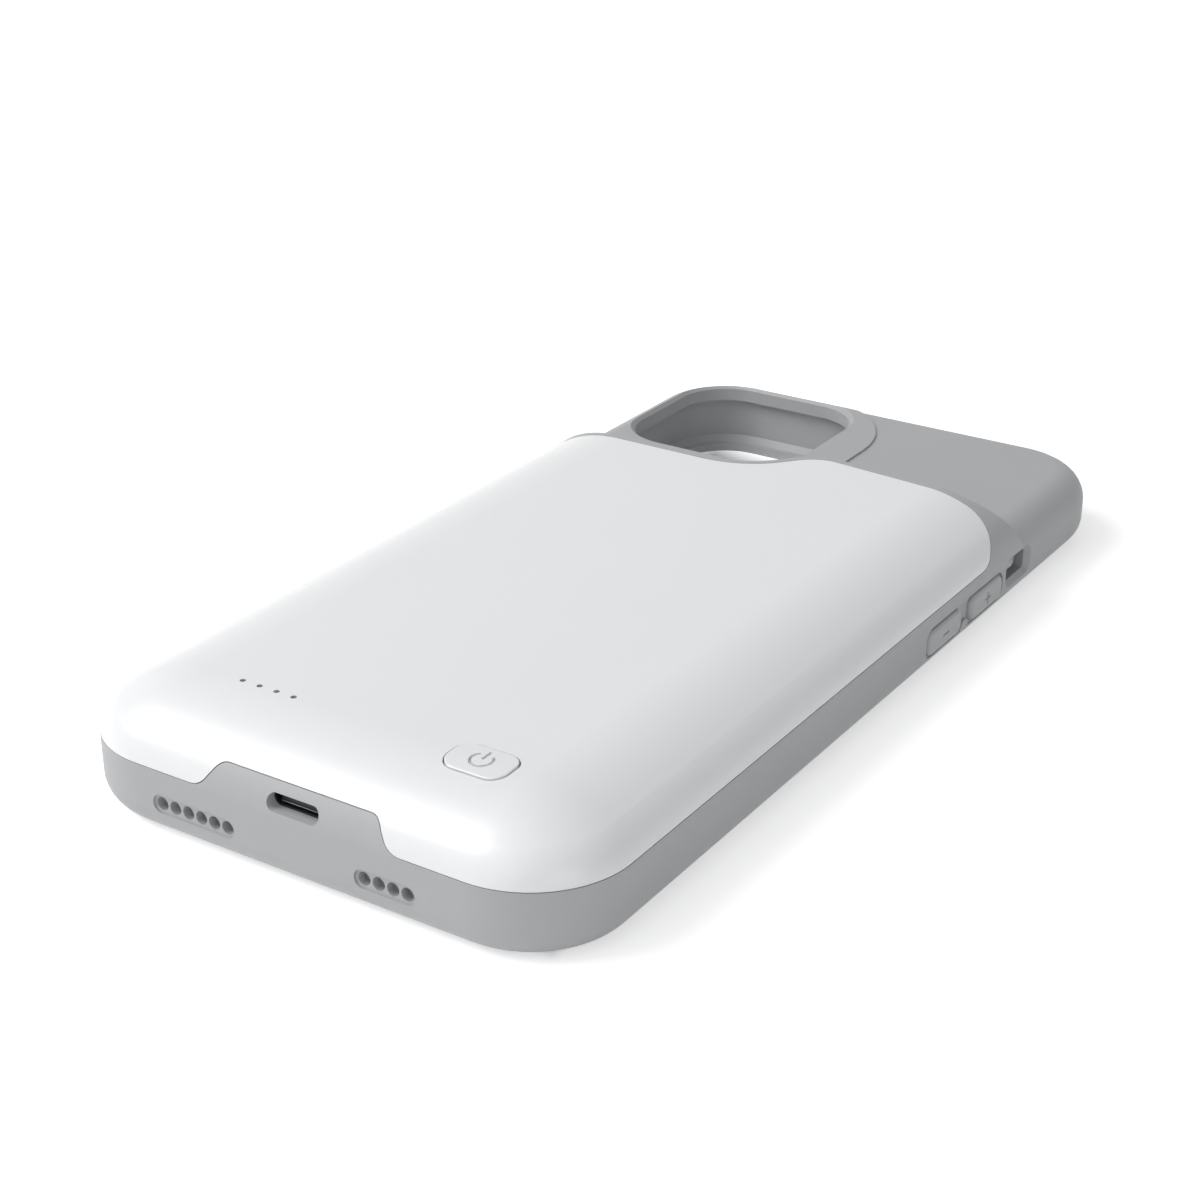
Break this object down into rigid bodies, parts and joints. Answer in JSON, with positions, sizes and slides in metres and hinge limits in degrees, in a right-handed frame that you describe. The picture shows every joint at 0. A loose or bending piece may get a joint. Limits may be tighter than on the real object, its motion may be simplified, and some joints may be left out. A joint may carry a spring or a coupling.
{
  "type": "battery charging case",
  "caption": "Slim phone case with a battery hump on its back, a camera window, side keys, a phone plug inside and a charging port in the chin.",
  "frame": {"origin": "middle of the case's outline, at the underside of the front lip that it lies on", "axes": "+Z out of the back of the case, +Y to the camera end, +X to the side with the volume keys"},
  "size_m": [0.0772, 0.1568, 0.0172],
  "materials": {
    "soft_grey": "fine matt moulded, soft to the touch",
    "cover_white": "satin moulded",
    "plate_grey": "fine matt moulded",
    "key_grey": "fine matt moulded",
    "button_white": "satin moulded",
    "black_plastic": "moulded",
    "clear_plastic": "clear moulded light guide",
    "led_body": "moulded over a white base",
    "board_green": "solder mask",
    "screw_steel": "plated",
    "coil_grey": "pressed ferrite",
    "capacitor_tan": "fired ceramic",
    "cell_foil": "laminated foil pouch",
    "tape_white": "adhesive sheet",
    "lead_red": "insulation",
    "lead_black": "insulation",
    "connector_steel": "nickel plated",
    "contact_gold": "gold plated"
  },
  "bodies": {
    "case": {"bumper_frame": "soft_grey", "battery_cover": "cover_white", "inner_plate": "plate_grey", "tact_switch": "black_plastic", "light_guide": "clear_plastic", "indicator_leds": "led_body", "main_board": "board_green", "board_screws": "screw_steel", "charge_chip": "black_plastic", "power_coil": "coil_grey", "board_capacitors": "capacitor_tan", "battery_cell": "cell_foil", "cell_tape": "tape_white", "cell_guard_board": "board_green", "lead_red": "lead_red", "lead_black": "lead_black", "port_shell": "connector_steel", "port_blade": "black_plastic", "plug_shell": "connector_steel", "plug_core": "black_plastic", "plug_contacts": "contact_gold", "plug_holder": "black_plastic", "link_board": "board_green", "link_pins": "contact_gold"},
    "power_button": {"power_button": "button_white", "tact_plunger": "black_plastic"},
    "volume_up": {"volume_up_key": "key_grey"},
    "volume_down": {"volume_down_key": "key_grey"},
    "side": {"side_key": "key_grey"}
  },
  "joints": [
    {"name": "power_press", "type": "slide", "parent": "case", "child": "power_button", "axis": [0, 0, -1], "range_m": [0, 0.0004], "stiffness_N_per_m": 1500},
    {"name": "volume_up_press", "type": "slide", "parent": "case", "child": "volume_up", "axis": [-1, 0, 0], "range_m": [0, 0.0005], "stiffness_N_per_m": 1500},
    {"name": "volume_down_press", "type": "slide", "parent": "case", "child": "volume_down", "axis": [-1, 0, 0], "range_m": [0, 0.0005], "stiffness_N_per_m": 1500},
    {"name": "side_press", "type": "slide", "parent": "case", "child": "side", "axis": [1, 0, 0], "range_m": [0, 0.0005], "stiffness_N_per_m": 1500}
  ]
}
